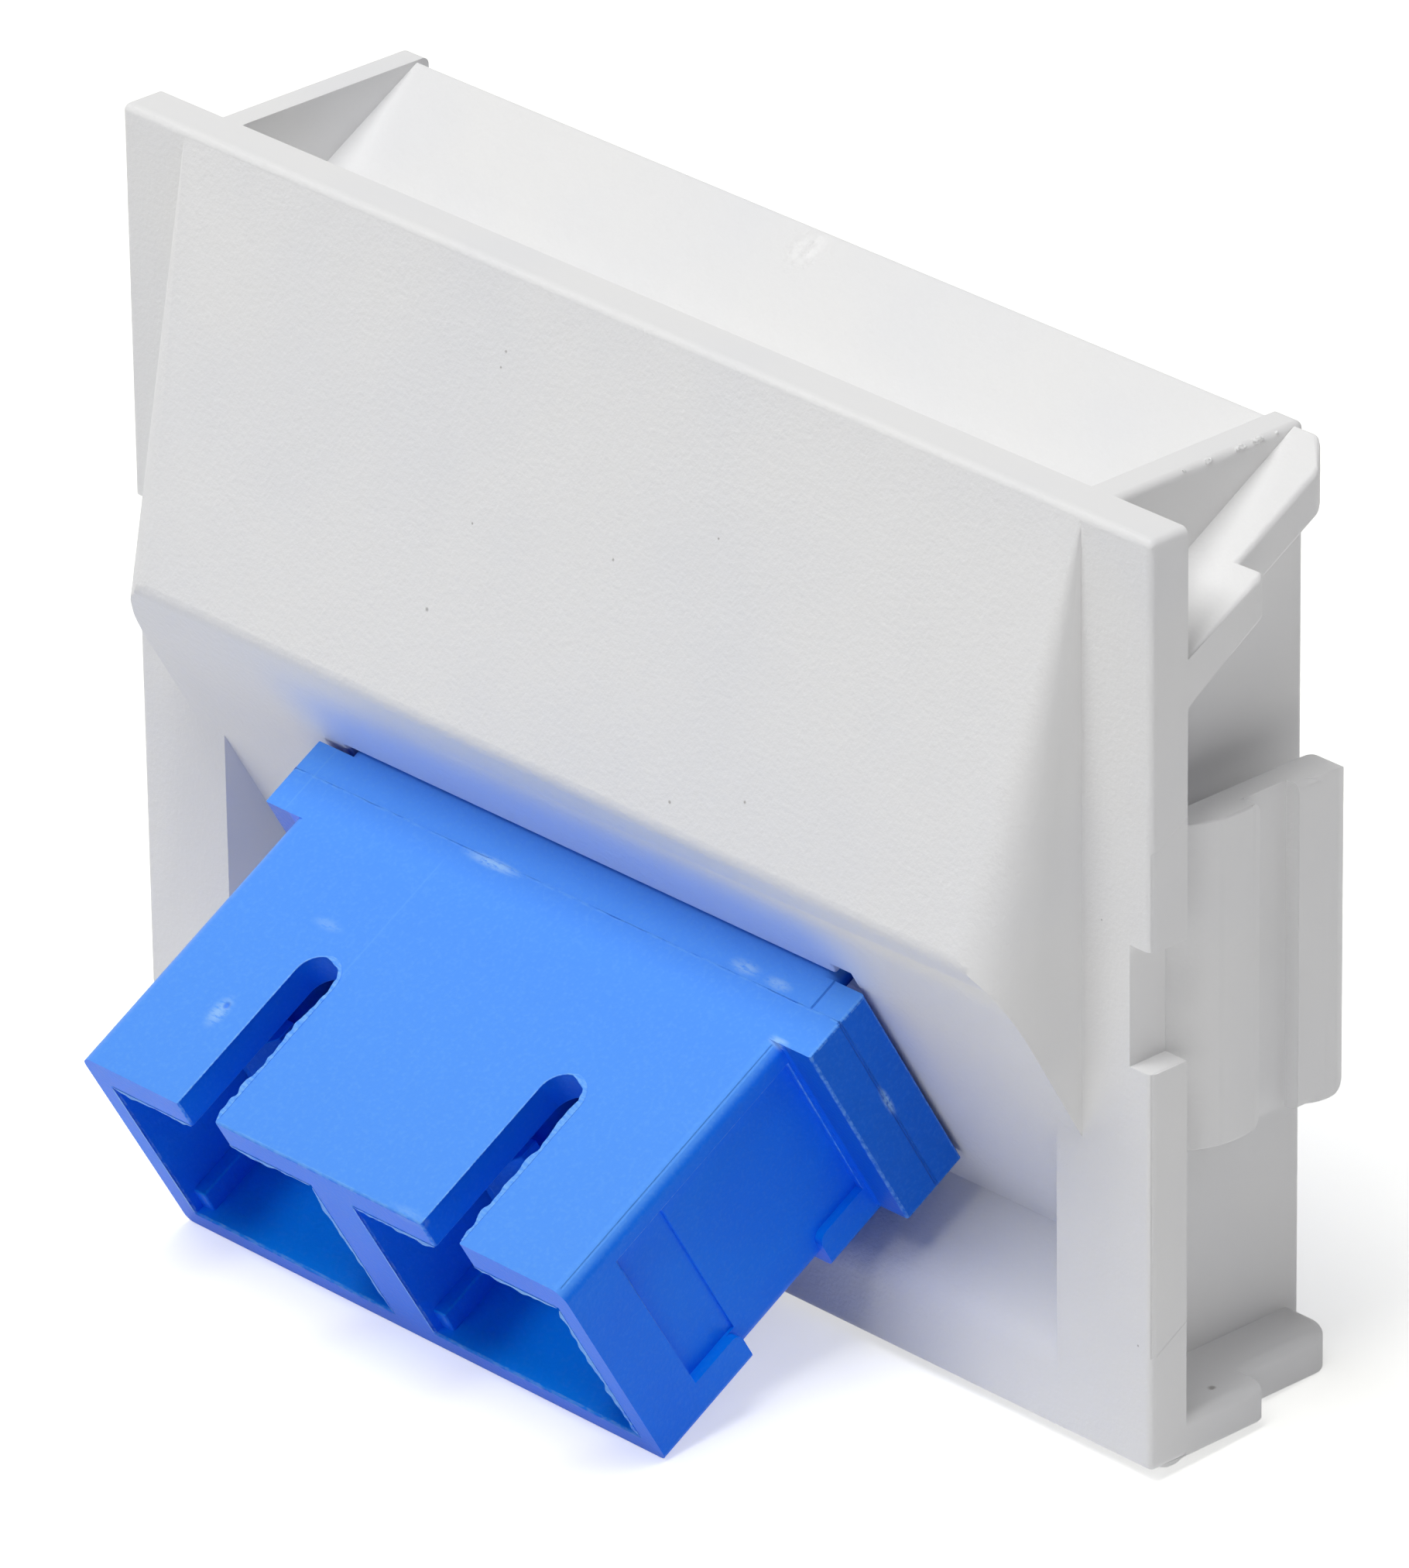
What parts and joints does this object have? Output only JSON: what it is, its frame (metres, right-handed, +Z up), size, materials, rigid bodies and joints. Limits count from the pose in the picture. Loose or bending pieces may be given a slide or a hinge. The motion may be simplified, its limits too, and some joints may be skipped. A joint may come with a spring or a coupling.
{
  "type": "sc fibre adapter outlet module",
  "caption": "Angled snap-in outlet module with a duplex SC fibre adapter that points down from a hooded, sloping face.",
  "frame": {"origin": "centre of the bezel plate's front face, at mid width and mid height", "axes": "+X right along the bezel's long side, +Y to the rear into the outlet frame, +Z up"},
  "size_m": [0.0522, 0.0281, 0.0361],
  "materials": {
    "white_plastic": "fine spark-eroded grain on the front, smoother on the top and sides",
    "blue_plastic": "satin moulded",
    "holder_plastic": "satin moulded",
    "ceramic": "polished",
    "spring_steel": "rolled strip"
  },
  "bodies": {
    "root": {"module_body": "white_plastic", "adapter_front_shell": "blue_plastic", "adapter_rear_shell": "blue_plastic", "sleeve_holder_left_front": "holder_plastic", "sleeve_holder_left_rear": "holder_plastic", "sleeve_holder_right_front": "holder_plastic", "sleeve_holder_right_rear": "holder_plastic", "alignment_sleeve_left": "ceramic", "alignment_sleeve_right": "ceramic", "panel_clip": "spring_steel"}
  },
  "joints": []
}
